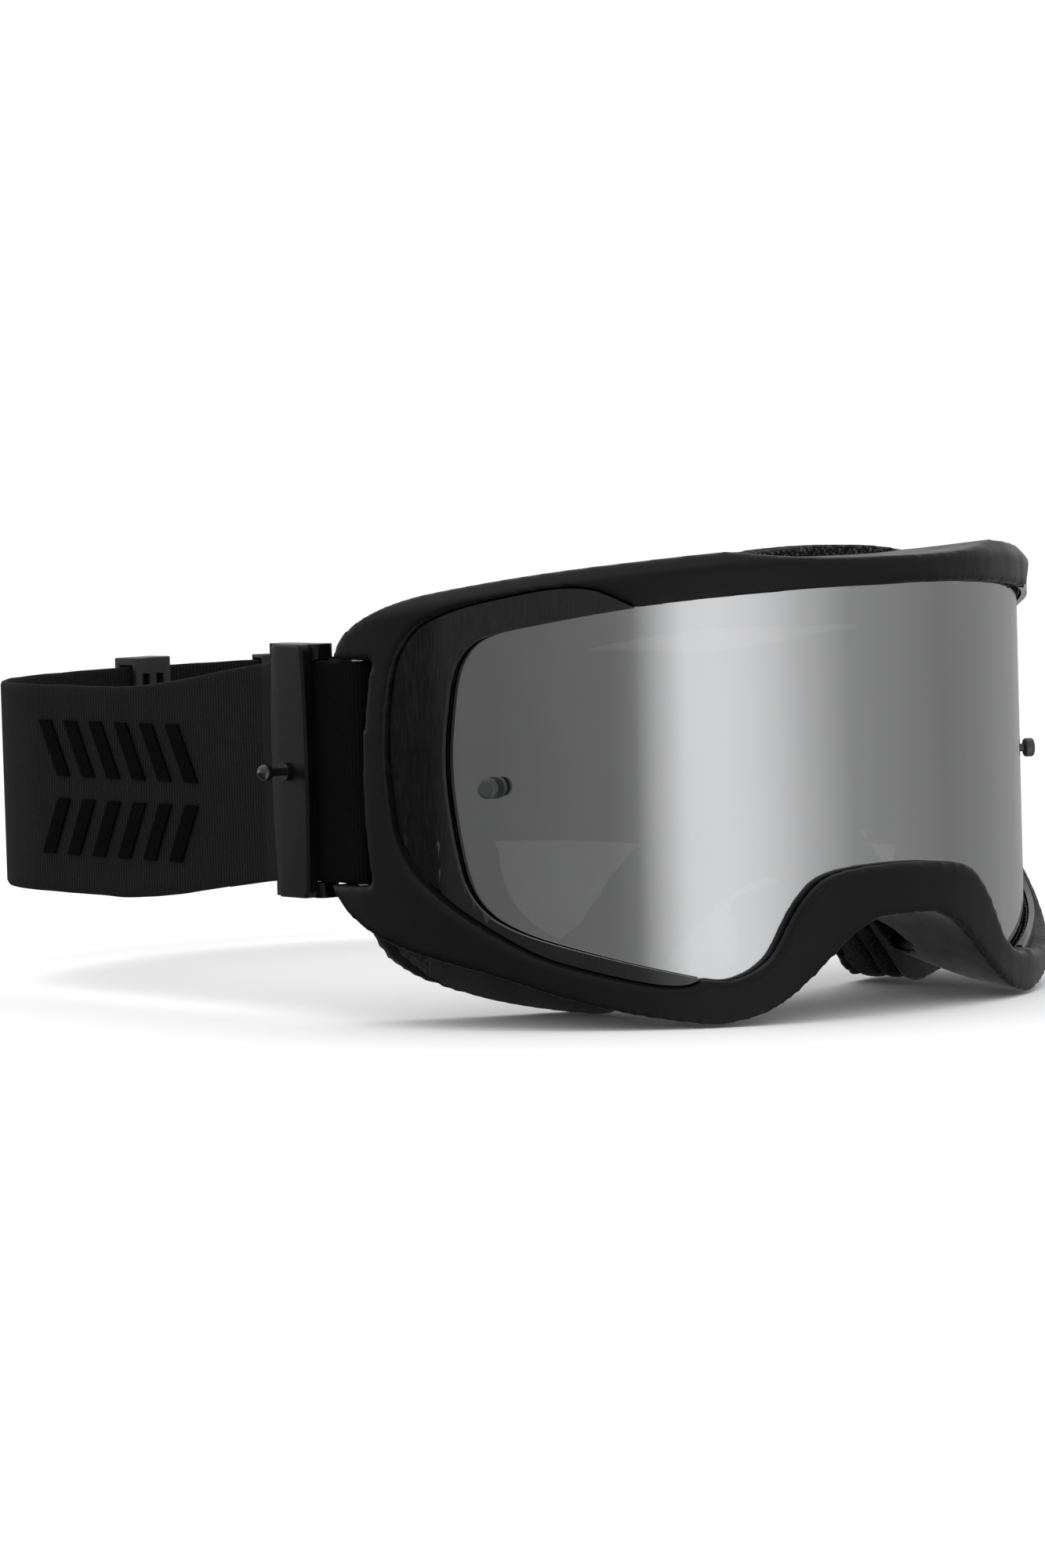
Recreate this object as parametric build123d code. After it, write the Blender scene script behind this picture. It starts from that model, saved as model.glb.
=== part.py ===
"""Motocross goggles: a frame with a mirrored cylindrical lens, a face foam stack and a strap.

Millimetres. +Z is up, the lens faces -Y and X runs across the face. The goggles are symmetric
about the plane X = 0. While they are built, Y = 0 is the front of the lens and Z = 0 is a level
through the middle of the rear strap. The finished solids are then moved so that the origin is
the centre of the underside of the whole object's box.

Places on the front of the goggles are given as (angle, height): the angle in degrees round the
vertical axis of the lens cylinder, counted from the middle of the lens, and the height Z.
"""

import os
from math import cos, hypot, radians, sin, tan

from build123d import *

# ---------------------------------------------------------------- driving dimensions
REACH = 130.0            # longer than the frame, for cutting solids

LENS_R = 79.5            # outer radius of the cylindrical lens
LENS_T = 1.2
LENS_TUCK = 2.6          # how far the lens runs in under the frame's lip
GASKET_T = 1.4           # rubber gasket behind the rim of the lens
GASKET_OUT = 3.4         # gasket, outwards from the edge of the eye port

LIP_TOP = 2.6            # the frame stands proud of the lens by this much at the brow
LIP_LOW = 5.0            # and by this much at the cheeks
FRAME_WALL = 2.8
FRAME_RING = 4.4         # depth of the front ring behind the face of the lens
SIDE_X = 84.4            # half width over the two side arms
SIDE_BACK = 84.0         # depth to which the plan outline of the arms runs
SIDE_BLEND = 62          # angle at which the front arc runs into the side arcs
ARM_X = 77.2             # inner limit of the side arms

FACE_R = 126.0           # plan radius of the face frame
FACE_C = 162.0           # depth of its centre
FACE_T = 2.2
FACE_SPREAD = 1.067      # the face frame is this much wider than the foam on it
HOLE_SPREAD = 0.98       # and its opening this much narrower
MIDDLE_SPREAD = 0.994    # the soft layer is tucked in a little
FOAM_BASE_T = 5.0        # firm base foam
FOAM_MID_T = 8.0         # soft middle foam
FLEECE_T = 2.4           # fleece against the face

PANEL_PROUD = 2.2        # gloss side panel, outer face proud of the lens
PANEL_T = 1.2
PANEL_GROOVE = 0.35      # shadow line between panel and frame
PANEL_FACING = 55        # the panel is drawn looking in this direction
RIB_DEPTH = 0.35         # three slanted ribs sunk into the panel

STRAP_W = 45.0
STRAP_T = 1.8
STRAP_X = 79.8           # half width of the strap loop at the middle of the webbing
STRAP_FRONT_Z = 6.4      # height of the strap's middle line at the frame
STRAP_BACK_Z = -0.3      # and at the back of the head
BAND_T = 1.2             # ribbed elastic band, one layer
BAR_Y = 70.5             # strap bar in the frame's arms
BAR_R = 1.8
BAR_LOW = -19.4
BAR_HIGH = 32.0
WINDOW_LOW = -16.2       # the strap window between the arms
WINDOW_HIGH = 29.0
RING_FRONT_Y = 83.4      # front and rear bars of the strap ring
RING_REAR_Y = 95.5
RING_BAR_R = 1.6
RING_HALF_H = 25.8
RING_END_H = 3.1
COVER_IN = 82.9          # outer cover bar of the strap ring, in X
COVER_OUT = 85.4
COVER_FRONT = 82.4       # depths of the cover's front edge, of the crease down it, and of its rear
COVER_CREASE = 91.2
COVER_REAR = 96.8
COVER_THIN = 0.7         # thickness left at the rear edge
FLEX_R = 27.0            # the strap swings freely outside this radius about the rear bar
FLEX_GAP = 0.4
CORNER_R = 50.0          # plan radius of the strap loop's rear corners
BACK_R = 110.0           # plan radius of the strap round the back of the head
BACK_C = 135.0           # depth of its centre
BACK_SPREAD = 30         # half angle of the rear arc, where the corner arcs begin

ADJUSTER_AT = 7.0        # rest angle of the adjuster round the rear arc, towards -X
ADJUSTER_SPAN = 5.6      # angle that the adjuster covers
ADJUSTER_T = 1.6
ADJUSTER_BAR = 1.1       # angle that one upright bar of it covers
TAIL_T = 1.4             # folded-back layer of the strap
TAIL_END = 12.0          # angle at which the folded layer ends, towards +X
KEEPER_SPAN = 2.4
SLIDE_GAP = 0.3          # clearance round everything that slides along the strap
HORN = 1.8               # how far the adjuster reaches past the strap's edges

POST_ANGLE = 60.7        # tear-off posts on the lens
POST_Z = 3.6
POST_HEAD_R = 2.0
POST_HEAD_L = 2.2
POST_NECK_R = 0.85
POST_NECK_L = 2.2
POST_FLANGE_R = 2.2
POST_FLANGE_L = 0.8
WASHER_R = 3.2
BALL_R = 1.75            # ball post on the strap ring
BALL_OUT = 5.2

# Edge of the eye port, from the middle of the brow round to the middle of the nose.
EYE_PORT = [
    (0, 41.4), (11, 41.3), (22.4, 40.6), (33.8, 39.5), (45, 37.6), (56.5, 35.0),
    (61.2, 33.5), (64.0, 31.4), (66.0, 27.8), (67.6, 19), (68.3, 9), (67.8, -1), (66.5, -11),
    (65.1, -16.8), (62.9, -20.8), (59.4, -24.0), (50.6, -28.3), (39.4, -32.5), (31.5, -35.1),
    (28, -35.7), (25, -34.6), (22, -32.0), (18.9, -25.4), (15.9, -19.6), (13.2, -16.6),
    (9.4, -15.1), (4.5, -14.5),
]
# Outer line of the gloss side panel from its upper tip to its lower tip, closed inside the port.
PANEL_LINE = [
    (28.6, 41.0), (32.3, 44.4), (39.7, 43.6), (45.6, 42.8), (51.6, 41.7), (57.8, 40.3), (66, 37.2),
    (70.6, 34.2), (73.3, 31.2), (74.9, 27.8), (76.5, 22), (77.3, 14), (77.6, 4.8), (77.3, -4.4),
    (76.6, -11.8), (75.7, -17.3), (74.1, -21.3), (72.1, -24.0), (68.6, -26.4), (64.2, -28.6),
    (59.4, -30.4), (50.5, -34.0), (42, -37.0), (36.1, -38.8), (31.5, -38.0), (29.4, -34.5),
    (29, -18), (30, 4), (29, 28),
]
# Brow and cheek of the frame seen from the side, as (Y, Z).
BROW_LINE = [(-8, 49.6), (6, 49.5), (14.4, 48.3), (25, 46.8), (37, 45.0), (50, 42.8),
             (57, 41.4), (62, 39.8), (66, 38.0), (70, 35.8), (74.5, 31.6)]
CHEEK_LINE = [(77.2, -15.6), (75.2, -19.2), (71.4, -22.6), (60, -28.1), (50, -30.9), (36, -34.7),
              (24, -39.2), (14, -42.4), (7, -44.2), (-8, -44.4)]
# Above this crease the brow slopes back; both fall towards the sides.
CREASE_Z = 46.8
CREASE_FALL = 0.14
SLOPE_RISE = 5.0
SLOPE_BACK = 4.0
# Half of the nose arch and half of the brow's dip seen from the front, as (X, Z).
NOSE_ARCH = [(47, -48.6), (38.5, -45.2), (32, -43.3), (27.4, -40.5), (17.4, -31.6), (11.6, -27.2),
             (6, -25.3)]
NOSE_TOP = -25.1
NOSE_FLARE = 1.22        # the arch is this much wider at the face
NOSE_RISE = 6.0          # and this much higher
NOSE_BACK = 80.0         # depth at which it is that wide
BROW_DIP = [(46, 50.6), (36, 49.3), (26, 48.0), (14, 47.3), (0, 47.2)]
# Outline of the face foam seen from the front, as (X, Z), brow to nose.
FOAM_LINE = [(0, 44.6), (30, 44.4), (52, 41.6), (67, 35.0), (75, 22), (76.4, 6), (76, -12),
             (74.6, -24), (69, -34.5), (58, -40.4), (46, -43.2), (37, -43.4), (31, -38.4),
             (22, -28.6), (12, -21.2), (0, -18.4)]
FOAM_HOLE = [(0, 32.4), (28, 32.0), (46, 29.4), (57.5, 24.0), (62.6, 14), (63.6, 3), (63, -10),
             (60.4, -20), (54, -27.0), (46, -29.9), (39.6, -28.6), (33, -21.4), (25, -12.4),
             (14, -6.4), (0, -4.8)]


# ---------------------------------------------------------------- geometry helpers
def mirrored(shape):
    """The same shape on the other side of the goggles."""
    return mirror(shape, about=Plane.YZ)


def both_sides(half):
    """A whole outline from one half: the half, then its mirror image in reverse order."""
    return half + [(-across, height) for across, height in reversed(half) if across != 0]


def front_plane(depth):
    """The plane seen from the front at a depth Y, drawn in (X, Z)."""
    return Plane(origin=(0, depth, 0), x_dir=(1, 0, 0), z_dir=(0, -1, 0))


def front_to_back(face, depth_from, depth_to):
    """A solid between two depths, from a face drawn in (X, Z)."""
    return extrude(front_plane(depth_to) * face, depth_to - depth_from)


def block(x_range, y_range, z_range):
    """A box between two limits on each axis."""
    ranges = (x_range, y_range, z_range)
    size = [high - low for low, high in ranges]
    middle = [(high + low) / 2 for low, high in ranges]
    return Pos(*middle) * Box(*size)


def drum(radius, centre_y):
    """A tall upright cylinder about the point (0, centre_y)."""
    return Pos(0, centre_y, 0) * Cylinder(radius, 2 * REACH)


def shell(outer, inner, centre_y=LENS_R):
    """The wall between two upright cylinders."""
    return drum(outer, centre_y) - drum(inner, centre_y)


def radial_prism(points, facing=0.0):
    """A cutter whose sides point at the lens axis, from an outline in (angle, height)."""
    loop = points + points[:1]
    scale = radians(LENS_R)
    steps = [hypot((b[0] - a[0]) * scale, b[1] - a[1]) for a, b in zip(loop, loop[1:])]
    knots = [sum(steps[:count]) / sum(steps) for count in range(len(steps) + 1)]
    turn = radians(facing)
    wires = []
    for distance in (18.0, 118.0):
        plane = Plane(origin=(distance * sin(turn), LENS_R - distance * cos(turn), 0),
                      x_dir=(cos(turn), sin(turn), 0), z_dir=(sin(turn), -cos(turn), 0))
        flat = [plane.from_local_coords((distance * tan(radians(angle) - turn), height))
                for angle, height in points]
        wires.append(Wire([Edge.make_spline(flat, periodic=True, parameters=knots)]))
    return Solid.make_loft(wires, ruled=True)


def widened(points, amount):
    """An outline in (angle, height), given clockwise, moved outwards by an amount."""
    scale = radians(LENS_R)
    count = len(points)
    moved = []
    for index, (angle, height) in enumerate(points):
        before = points[index - 1]
        after = points[(index + 1) % count]
        run_x = (after[0] - before[0]) * scale
        run_z = after[1] - before[1]
        run = hypot(run_x, run_z)
        moved.append((angle - run_z / run * amount / scale, height + run_x / run * amount))
    return moved


def on_cylinder(angle, height, radius):
    """A plane that looks outwards from a cylinder about the lens axis."""
    turn = radians(angle)
    return Plane(origin=(radius * sin(turn), LENS_R - radius * cos(turn), height),
                 x_dir=(cos(turn), sin(turn), 0), z_dir=(sin(turn), -cos(turn), 0))


def frame_plan(radius, side_x):
    """Plan of the frame: an arc round the lens that runs back into the side arms."""
    turn = radians(SIDE_BLEND)
    joint = (radius * sin(turn), LENS_R - radius * cos(turn))
    other = (-joint[0], joint[1])
    front = ThreePointArc(other, (0, LENS_R - radius), joint)
    right = TangentArc(joint, (side_x, SIDE_BACK), tangent=(cos(turn), sin(turn)))
    left = TangentArc(other, (-side_x, SIDE_BACK), tangent=(-cos(turn), sin(turn)))
    rear = Line((side_x, SIDE_BACK), (-side_x, SIDE_BACK))
    return make_face([front, right, rear, left])


def side_profile(inset):
    """The frame's side view shrunk by an inset, as a solid right across the goggles."""
    brow = Spline(*[(depth, height - inset) for depth, height in BROW_LINE])
    cheek = Spline(*[(depth, height + inset) for depth, height in CHEEK_LINE])
    outline = make_face([brow, Line(brow @ 1, cheek @ 0), cheek, Line(cheek @ 1, brow @ 0)])
    return extrude(Plane.YZ * outline, REACH, both=True)


def nose_space(clearance):
    """The space for the nose, wider and higher towards the face."""
    wires = []
    floor = -80.0
    for depth, flare, rise in ((-12.0, 1.0, 0.0), (NOSE_BACK, NOSE_FLARE, NOSE_RISE)):
        half = [(across * flare + clearance, height + rise + clearance * 0.6)
                for across, height in NOSE_ARCH]
        arch = [(-across, height) for across, height in half]
        arch += [(0, NOSE_TOP + rise + clearance)] + half[::-1]
        curve = Spline(*arch)
        legs = Polyline(arch[-1], (arch[-1][0], floor), (arch[0][0], floor), arch[0])
        face = front_plane(depth) * make_face([curve, legs])
        wires.append(face.face().outer_wire())
    return Solid.make_loft(wires, ruled=True)


def smooth_face(half, stretch=1.0):
    """A face inside a smooth symmetric outline, from one half of it, stretched across."""
    points = [(across * stretch, height) for across, height in both_sides(half)]
    return make_face(Spline(*points, periodic=True))


def wedge(angle_from, angle_to, radius, half_height, centre_z):
    """A sector about the rear arc's centre; angles count from +Y towards -X."""
    corners = [(0.0, BACK_C)]
    for angle in (angle_from, angle_to):
        turn = radians(angle)
        corners.append((-radius * sin(turn), BACK_C + radius * cos(turn)))
    sector = make_face(Polyline(*corners, close=True))
    return extrude(Pos(0, 0, centre_z - half_height) * sector, 2 * half_height)


def strap_ribbon(thickness):
    """Plan of the strap loop behind the strap rings."""
    spread = radians(BACK_SPREAD)
    corner_x = STRAP_X - CORNER_R
    corner_y = BACK_C + (BACK_R - CORNER_R) * cos(spread)
    edges = []
    for offset in (thickness / 2, -thickness / 2):
        side = STRAP_X + offset
        corner = CORNER_R + offset
        back = BACK_R + offset
        meet = (back * sin(spread), BACK_C + back * cos(spread))
        half_turn = (radians(90) + spread) / 2
        knee = (corner_x + corner * sin(half_turn), corner_y + corner * cos(half_turn))
        edges += [
            Line((-side, RING_REAR_Y), (-side, corner_y)),
            ThreePointArc((-side, corner_y), (-knee[0], knee[1]), (-meet[0], meet[1])),
            ThreePointArc((-meet[0], meet[1]), (0, BACK_C + back), meet),
            ThreePointArc(meet, knee, (side, corner_y)),
            Line((side, corner_y), (side, RING_REAR_Y)),
        ]
    inner, outer = STRAP_X - thickness / 2, STRAP_X + thickness / 2
    edges += [Line((side * outer, RING_REAR_Y), (side * inner, RING_REAR_Y)) for side in (-1, 1)]
    return extrude(make_face(edges), REACH, both=True)


def strap_band():
    """The band of height that the strap fills, level at the back and higher at the frame."""
    middle = [(60, STRAP_FRONT_Z), (100, STRAP_FRONT_Z - 0.4), (128, 2.2), (156, STRAP_BACK_Z + 0.3),
              (185, STRAP_BACK_Z), (220, STRAP_BACK_Z), (300, STRAP_BACK_Z)]
    upper = Spline(*[(depth, height + STRAP_W / 2) for depth, height in middle])
    lower = Spline(*[(depth, height - STRAP_W / 2) for depth, height in middle])
    outline = make_face([upper, Line(upper @ 1, lower @ 1), lower, Line(lower @ 0, upper @ 0)])
    return extrude(Plane.YZ * outline, REACH, both=True)


def flex_disc(radius):
    """A cylinder across the goggles about the rear bars of the strap rings."""
    return Pos(0, RING_REAR_Y, STRAP_FRONT_Z) * Rot(0, 90, 0) * Cylinder(radius, 2 * REACH)


def belt(first_y, first_r, second_y, second_r):
    """Plan of webbing drawn round two upright bars, as the hull of two circles."""
    lean = (first_r - second_r) / (second_y - first_y)
    rise = (1 - lean * lean) ** 0.5
    near_x, near_y = first_r * rise, first_y + first_r * lean
    far_x, far_y = second_r * rise, second_y + second_r * lean
    middle = make_face(Polyline((STRAP_X + near_x, near_y), (STRAP_X + far_x, far_y),
                                (STRAP_X - far_x, far_y), (STRAP_X - near_x, near_y), close=True))
    first = Pos(STRAP_X, first_y) * Circle(first_r)
    second = Pos(STRAP_X, second_y) * Circle(second_r)
    return first + middle + second


def upright(x, y, radius, low, high):
    """An upright round bar."""
    return Pos(x, y, (low + high) / 2) * Cylinder(radius, high - low)


# ---------------------------------------------------------------- cutters used by many parts
port = both_sides(EYE_PORT)
port_cutter = radial_prism(port)
lens_blank = radial_prism(widened(port, LENS_TUCK))
gasket_blank = radial_prism(widened(port, GASKET_OUT))
strap_height = strap_band()
vents = {
    "top_vent_foam": (shell(LENS_R - 17, LENS_R - 27), [(-27, 27)], 1),
    "side_vent_foams": (shell(LENS_R - 8, LENS_R - 16), [(-58, -36), (36, 58)], 1),
    "cheek_vent_foams": (shell(LENS_R - 9, LENS_R - 17), [(-60, -46), (46, 60)], -1),
}


def vent_opening(name):
    """The openings of one group of vents, right through the frame's wall."""
    ring, spans, side = vents[name]
    limits = (0, REACH) if side > 0 else (-REACH, 0)
    blocks = [block(span, (0, 60), limits) for span in spans]
    return (ring & (Part() + blocks)) - drum(FACE_R + FACE_T, FACE_C)


# ---------------------------------------------------------------- hard parts
def above_crease():
    """What the brow's sloping front leaves out above the crease."""
    levels = []
    for rise in (0.0, SLOPE_RISE):
        levels.append(Plane(origin=(0, 0, CREASE_Z + rise), x_dir=(1, 0, 0),
                            z_dir=(0, CREASE_FALL, 1)))
    low_plan = levels[0] * frame_plan(LENS_R + LIP_TOP + 0.3, SIDE_X + 0.1)
    high_plan = levels[1] * frame_plan(LENS_R + LIP_TOP + 0.3 - SLOPE_BACK, SIDE_X - SLOPE_BACK)
    sloping = loft([low_plan, high_plan], ruled=True)
    return extrude(levels[0] * Rectangle(2 * REACH, 3 * REACH), SLOPE_RISE) - sloping


def make_outer_frame():
    """Brow, cheeks, nose arch and the two side arms in one moulding."""
    low_plan = Pos(0, 0, -50) * frame_plan(LENS_R + LIP_LOW, SIDE_X)
    high_plan = Pos(0, 0, 52) * frame_plan(LENS_R + LIP_TOP, SIDE_X)
    body = loft([low_plan, high_plan], ruled=True) & side_profile(0)
    dip = Spline(*both_sides(BROW_DIP))
    above = Polyline(dip @ 1, (dip @ 1) + (0, 20), (dip @ 0) + (0, 20), dip @ 0)
    body -= front_to_back(make_face([dip, above]), -20, 20)
    body -= above_crease()
    body -= nose_space(0)
    cavity = extrude(frame_plan(LENS_R - FRAME_RING, SIDE_X - FRAME_WALL), REACH, both=True)
    cavity = (cavity & side_profile(FRAME_WALL)) - nose_space(FRAME_WALL)
    body -= cavity
    behind = drum(FACE_R + FACE_T, FACE_C) & block((-ARM_X, ARM_X), (0, 200), (-80, 80))
    body -= behind
    body -= port_cutter
    body -= lens_blank & shell(LENS_R + 0.05, LENS_R - LENS_T)
    body -= gasket_blank & shell(LENS_R - LENS_T, LENS_R - LENS_T - GASKET_T)
    for name in vents:
        body -= vent_opening(name)
    bow = ThreePointArc((64.4, WINDOW_HIGH), (67.4, 7), (65.2, WINDOW_LOW))
    rest = Polyline((65.2, WINDOW_LOW), (95, WINDOW_LOW), (95, WINDOW_HIGH), (64.4, WINDOW_HIGH))
    window = extrude(Plane.YZ * make_face([bow, rest]), REACH, both=True)
    body -= window - block((-ARM_X, ARM_X), (0, 200), (-80, 80))
    for side in (1, -1):
        seat = radial_prism(widened(PANEL_LINE, PANEL_GROOVE), PANEL_FACING)
        seat &= shell(LENS_R + 20, LENS_R + PANEL_PROUD - PANEL_T)
        bosses = block((ARM_X, 82), (66.8, 74.2), (WINDOW_HIGH, BAR_HIGH + 1.4))
        bosses += block((ARM_X, 82), (66.8, 74.2), (BAR_LOW - 1.2, WINDOW_LOW))
        bosses &= side_profile(0.6)
        bar = upright(STRAP_X, BAR_Y, BAR_R, BAR_LOW, BAR_HIGH)
        if side < 0:
            seat, bosses, bar = mirrored(seat), mirrored(bosses), mirrored(bar)
        body -= seat
        body += bosses
        body -= bar
    return body


def make_lens():
    """Mirrored lens with a hole for each tear-off post."""
    lens = lens_blank & shell(LENS_R, LENS_R - LENS_T)
    for angle in (POST_ANGLE, -POST_ANGLE):
        hole = on_cylinder(angle, POST_Z, LENS_R) * Cylinder(POST_NECK_R, 8)
        lens -= hole
    return lens


def make_gasket():
    """Rubber gasket between the lens and the front ring."""
    wall = shell(LENS_R - LENS_T, LENS_R - LENS_T - GASKET_T)
    return (wall & gasket_blank) - port_cutter


def make_panel():
    """Gloss side panel with three slanted ribs sunk into it."""
    outer = LENS_R + PANEL_PROUD
    panel = radial_prism(PANEL_LINE, PANEL_FACING) - port_cutter
    panel &= shell(outer, outer - PANEL_T)
    for step in range(3):
        low = -19.0 + 5.0 * step
        rib = [(69.4, low), (75.2, low + 4.8), (75.2, low + 6.6), (69.4, low + 1.8)]
        panel -= radial_prism(rib, PANEL_FACING) & shell(outer + 2, outer - RIB_DEPTH)
    return panel


def make_lens_post():
    """Tear-off post: a flange on the lens, a neck and a rounded head."""
    start = LENS_R
    flange = Cylinder(POST_FLANGE_R, POST_FLANGE_L, align=(Align.CENTER, Align.CENTER, Align.MIN))
    neck_from = -LENS_T - 1.0
    neck_to = POST_FLANGE_L + POST_NECK_L
    neck = Pos(0, 0, neck_from) * Cylinder(POST_NECK_R, neck_to - neck_from,
                                           align=(Align.CENTER, Align.CENTER, Align.MIN))
    head = Pos(0, 0, neck_to) * Cylinder(POST_HEAD_R, POST_HEAD_L,
                                         align=(Align.CENTER, Align.CENTER, Align.MIN))
    head = fillet(head.edges().filter_by(GeomType.CIRCLE), 0.6)
    return on_cylinder(POST_ANGLE, POST_Z, start) * (flange + neck + head)


def make_post_washer():
    """Spring washer that holds the post from behind the lens."""
    washer = Cylinder(WASHER_R, 1.0, align=(Align.CENTER, Align.CENTER, Align.MAX))
    washer -= Cylinder(POST_NECK_R, 4.0)
    washer = on_cylinder(POST_ANGLE, POST_Z, LENS_R - LENS_T - 0.05) * washer
    return washer & drum(LENS_R - LENS_T, LENS_R)


def make_face_frame():
    """Flexible frame that carries the foam, curved to the face."""
    ring = front_to_back(smooth_face(FOAM_LINE, FACE_SPREAD), 10, 110)
    ring -= front_to_back(smooth_face(FOAM_HOLE, HOLE_SPREAD), 0, 120)
    ring &= shell(FACE_R + FACE_T, FACE_R, FACE_C)
    return ring & extrude(frame_plan(LENS_R - FRAME_RING, SIDE_X - FRAME_WALL), REACH, both=True)


def make_foam(outer_r, thickness, stretch):
    """One layer of the face foam."""
    ring = front_to_back(smooth_face(FOAM_LINE, stretch), 10, 130)
    ring -= front_to_back(smooth_face(FOAM_HOLE), 0, 140)
    return ring & shell(outer_r, outer_r - thickness, FACE_C)


def make_vent_foam(name):
    """Open-cell foam in one group of vents."""
    opening = vent_opening(name)
    rise = 0.4
    if name != "top_vent_foam":
        return opening & (side_profile(-rise) - side_profile(FRAME_WALL))
    crown = ThreePointArc((-27, 46.9), (0, 49.2), (27, 46.9))
    base = Polyline((27, 46.9), (27, 43.6), (-27, 43.6), (-27, 46.9))
    return opening & front_to_back(make_face([crown, base]), 0, 60)


# ---------------------------------------------------------------- strap hardware
def make_strap_bar():
    """Steel bar that holds the elastic band in the frame's arms."""
    return upright(STRAP_X, BAR_Y, BAR_R, BAR_LOW, BAR_HIGH)


def make_strap_ring():
    """Ring between elastic band and strap, with a wide faceted cover bar on its outside."""
    low, high = STRAP_FRONT_Z - RING_HALF_H, STRAP_FRONT_Z + RING_HALF_H
    front_bar = upright(STRAP_X, RING_FRONT_Y, RING_BAR_R, low, high)
    rear_bar = upright(STRAP_X, RING_REAR_Y, RING_BAR_R, low, high)
    ring = front_bar + rear_bar
    for start in (low, high - RING_END_H):
        end = block((78.0, COVER_IN), (RING_FRONT_Y - 1.8, RING_REAR_Y + 2.6),
                    (start, start + RING_END_H))
        ring += fillet(end.edges().filter_by(Axis.Z), 1.2)
    front_end, rear_end = COVER_FRONT + 0.8, COVER_REAR - 2.2
    front_edge = ThreePointArc((front_end, low), (COVER_FRONT, STRAP_FRONT_Z), (front_end, high))
    rear_edge = ThreePointArc((rear_end, high), (COVER_REAR, STRAP_FRONT_Z), (rear_end, low))
    outline = make_face([front_edge, Line((front_end, high), (rear_end, high)), rear_edge,
                         Line((rear_end, low), (front_end, low))])
    outline = fillet(outline.vertices(), 1.6)
    cover = extrude(Plane.YZ.offset(COVER_IN) * outline, COVER_OUT - COVER_IN)
    outer_face = cover.faces().sort_by(Axis.X)[-1]
    cover = chamfer(outer_face.edges(), 0.5)
    slant = make_face(Polyline((COVER_OUT + 1, COVER_CREASE), (COVER_OUT, COVER_CREASE),
                               (COVER_IN + COVER_THIN, COVER_REAR), (COVER_OUT + 1, COVER_REAR + 9),
                               close=True))
    cover -= extrude(slant, REACH, both=True)
    return ring + cover


def make_ring_post():
    """Ball post on the cover bar of the strap ring."""
    face = Plane(origin=(COVER_OUT, COVER_CREASE - 1.9, STRAP_FRONT_Z), x_dir=(0, 1, 0),
                 z_dir=(1, 0, 0))
    low = (Align.CENTER, Align.CENTER, Align.MIN)
    post = Cylinder(1.9, 0.9, align=low) + Cylinder(0.85, BALL_OUT, align=low)
    return face * (post + Pos(0, 0, BALL_OUT) * Sphere(BALL_R))


def make_elastic_band():
    """Ribbed elastic, looped round the strap bar and the front bar of the ring."""
    outer = belt(BAR_Y, BAR_R + BAND_T, RING_FRONT_Y, RING_BAR_R + BAND_T)
    inner = belt(BAR_Y, BAR_R, RING_FRONT_Y, RING_BAR_R)
    half = STRAP_W / 2 - 0.2
    return extrude(Pos(0, 0, STRAP_FRONT_Z - half) * (outer - inner), 2 * half)


def make_strap_end():
    """Sewn end of the strap, looped round the rear bar of the ring."""
    loop = upright(STRAP_X, RING_REAR_Y, RING_BAR_R + 1.3, -40, 60)
    side = strap_ribbon(STRAP_T) & block((0, REACH), (RING_REAR_Y, 150), (-60, 60))
    end = (side & flex_disc(FLEX_R - FLEX_GAP)) + (loop & flex_disc(22.2))
    end -= upright(STRAP_X, RING_REAR_Y, RING_BAR_R, -60, 60)
    return end & strap_height


def make_main_strap():
    """The strap loop behind both rings, cut clear of the ends on an arc."""
    return (strap_ribbon(STRAP_T) & strap_height) - flex_disc(FLEX_R)


def make_emblem():
    """Raised tread pattern on the outside of the strap: two rows of slanted blocks."""
    blocks = []
    for step in range(6):
        start = 127.5 + 9.6 * step
        for way in (1, -1):
            corners = [(start, 2.4 * way), (start + 4.6, 2.4 * way), (start + 11.2, 14.5 * way),
                       (start + 6.6, 14.5 * way)]
            face = Plane.YZ.offset(STRAP_X + STRAP_T / 2) * Pos(0, 0.2) * make_face(
                Polyline(*corners, close=True))
            blocks.append(extrude(face, 0.5))
    return Compound(children=[solid for item in blocks for solid in item.solids()])


# ---------------------------------------------------------------- what slides on the strap
TAIL_IN = BACK_R + STRAP_T / 2 + SLIDE_GAP
TAIL_OUT = TAIL_IN + TAIL_T
SLIDE_HALF = STRAP_W / 2 + SLIDE_GAP


def slider(middle, span, outer_t, end_h, bar):
    """A ring round the strap and its folded layer, with upright bars and open windows."""
    inner_r = BACK_R - STRAP_T / 2 - SLIDE_GAP
    outer_r = TAIL_OUT + SLIDE_GAP
    zone = wedge(middle - span / 2, middle + span / 2, 140, SLIDE_HALF + end_h, STRAP_BACK_Z)
    body = zone & shell(outer_r + outer_t, inner_r - outer_t, BACK_C)
    inside = wedge(middle - span, middle + span, 140, SLIDE_HALF, STRAP_BACK_Z)
    body -= inside & shell(outer_r, inner_r, BACK_C)
    if bar:
        for way in (1, -1):
            window = (span - 3 * bar) / 2
            near, far = sorted((middle + way * bar / 2, middle + way * (bar / 2 + window)))
            body -= wedge(near, far, 140, SLIDE_HALF - 2.0, STRAP_BACK_Z) & shell(
                130, 90, BACK_C)
    return body


def make_tail():
    """The folded-back layer of the strap, from the adjuster to the keeper."""
    zone = wedge(-TAIL_END, ADJUSTER_AT, 140, STRAP_W / 2, STRAP_BACK_Z)
    return zone & shell(TAIL_OUT, TAIL_IN, BACK_C)


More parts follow.
